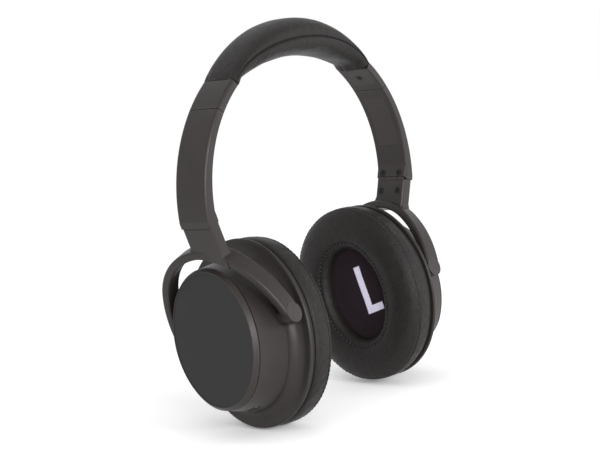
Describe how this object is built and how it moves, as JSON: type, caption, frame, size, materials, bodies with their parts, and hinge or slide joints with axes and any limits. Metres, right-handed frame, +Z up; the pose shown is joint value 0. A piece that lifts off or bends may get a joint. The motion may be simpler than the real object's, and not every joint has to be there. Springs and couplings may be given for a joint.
{
  "type": "aviation headset",
  "caption": "Padded over-ear headset: cushioned headband, telescoping arms on click strips, folding yokes and tilting oval ear cups with soft pads, keys and an audio socket.",
  "frame": {"origin": "bottom centre of the bounding box, the parts at rest as pictured, the surface the ear cups stand on is Z = 0", "axes": "+X across the head towards the wearer's left, -Y the wearer's front, +Z up"},
  "size_m": [0.1652, 0.083, 0.199],
  "materials": {
    "shell_plastic": "satin moulded, warm near-black",
    "disc_plastic": "matte, neutral dark grey",
    "inner_plastic": "matte moulded, black",
    "leatherette": "soft fine-grained leatherette over foam",
    "ear_fabric": "fine acoustic cloth, purple-black",
    "mark_ink": "printed flock, pale lavender",
    "spring_steel": "brushed",
    "screw_steel": "satin",
    "slider_steel": "blackened steel",
    "foil": "metallised film",
    "board_green": "solder-masked board"
  },
  "bodies": {
    "headband": {"band_spring": "spring_steel", "band_core": "inner_plastic", "band_sleeve": "leatherette", "band_cushion": "leatherette", "end_cap_left": "shell_plastic", "end_cap_right": "shell_plastic", "cap_cover_left": "shell_plastic", "cap_cover_right": "shell_plastic", "cap_screws": "screw_steel", "slider_left": "slider_steel", "slider_right": "slider_steel"},
    "left_arm": {"arm_left": "shell_plastic", "arm_cover_left": "shell_plastic", "arm_screws_left": "screw_steel", "fold_pin_left": "screw_steel"},
    "left_yoke": {"yoke_left": "shell_plastic", "neck_screws_left": "screw_steel"},
    "left_cup": {"pivot_pins_left": "screw_steel", "cup_shell_left": "shell_plastic", "bezel_left": "shell_plastic", "disc_left": "disc_plastic", "baffle_left": "inner_plastic", "driver_frame_left": "inner_plastic", "magnet_left": "spring_steel", "diaphragm_left": "foil", "pad_ring_left": "inner_plastic", "ear_pad_left": "leatherette", "ear_fabric_left": "ear_fabric", "ear_mark_left": "mark_ink", "battery": "foil", "jack_socket": "slider_steel"},
    "right_arm": {"arm_right": "shell_plastic", "arm_cover_right": "shell_plastic", "arm_screws_right": "screw_steel", "fold_pin_right": "screw_steel"},
    "right_yoke": {"yoke_right": "shell_plastic", "neck_screws_right": "screw_steel"},
    "right_cup": {"pivot_pins_right": "screw_steel", "cup_shell_right": "shell_plastic", "bezel_right": "shell_plastic", "disc_right": "disc_plastic", "baffle_right": "inner_plastic", "driver_frame_right": "inner_plastic", "magnet_right": "spring_steel", "diaphragm_right": "foil", "pad_ring_right": "inner_plastic", "ear_pad_right": "leatherette", "ear_fabric_right": "ear_fabric", "ear_mark_right": "mark_ink", "circuit_board": "board_green", "charge_port": "spring_steel"},
    "volume_up_key": {"volume_up_button": "shell_plastic"},
    "play_key": {"play_button": "shell_plastic"},
    "volume_down_key": {"volume_down_button": "shell_plastic"},
    "action_key": {"action_button": "shell_plastic"},
    "power_slider": {"power_switch": "shell_plastic"}
  },
  "joints": [
    {"name": "left_extension", "type": "slide", "parent": "headband", "child": "left_arm", "axis": [0.4115, 0, -0.9114], "range_m": [0, 0.025]},
    {"name": "right_extension", "type": "slide", "parent": "headband", "child": "right_arm", "axis": [0.4115, 0, 0.9114], "range_m": [-0.025, 0]},
    {"name": "left_fold", "type": "hinge", "parent": "left_arm", "child": "left_yoke", "pos_m": [0.07637, -0.0024, 0.10598], "axis": [0, 1, 0], "range_deg": [0, 45]},
    {"name": "right_fold", "type": "hinge", "parent": "right_arm", "child": "right_yoke", "pos_m": [-0.07637, -0.0024, 0.10598], "axis": [0, 1, 0], "range_deg": [-45, 0]},
    {"name": "left_tilt", "type": "hinge", "parent": "left_yoke", "child": "left_cup", "pos_m": [0.0582, 0, 0.0483], "axis": [0, 0.9483, -0.3173], "range_deg": [-12.6, 7.4]},
    {"name": "right_tilt", "type": "hinge", "parent": "right_yoke", "child": "right_cup", "pos_m": [-0.0582, 0, 0.0483], "axis": [0, 0.9483, -0.3173], "range_deg": [-15.5, 4.5]},
    {"name": "volume_up_press", "type": "slide", "parent": "right_cup", "child": "volume_up_key", "axis": [0.2064, -0.8765, 0.4349], "range_m": [0, 0.0006], "stiffness_N_per_m": 900, "springref_m": -0.0004},
    {"name": "play_press", "type": "slide", "parent": "right_cup", "child": "play_key", "axis": [0.2269, -0.7526, 0.6182], "range_m": [0, 0.0006], "stiffness_N_per_m": 900, "springref_m": -0.0004},
    {"name": "volume_down_press", "type": "slide", "parent": "right_cup", "child": "volume_down_key", "axis": [0.2456, -0.5904, 0.7689], "range_m": [0, 0.0006], "stiffness_N_per_m": 900, "springref_m": -0.0004},
    {"name": "action_press", "type": "slide", "parent": "left_cup", "child": "action_key", "axis": [-0.1742, -0.7208, 0.6708], "range_m": [0, 0.0006], "stiffness_N_per_m": 900, "springref_m": -0.0004},
    {"name": "power_slide", "type": "slide", "parent": "right_cup", "child": "power_slider", "axis": [-0.045, -0.9856, -0.163], "range_m": [0, 0.003]}
  ]
}
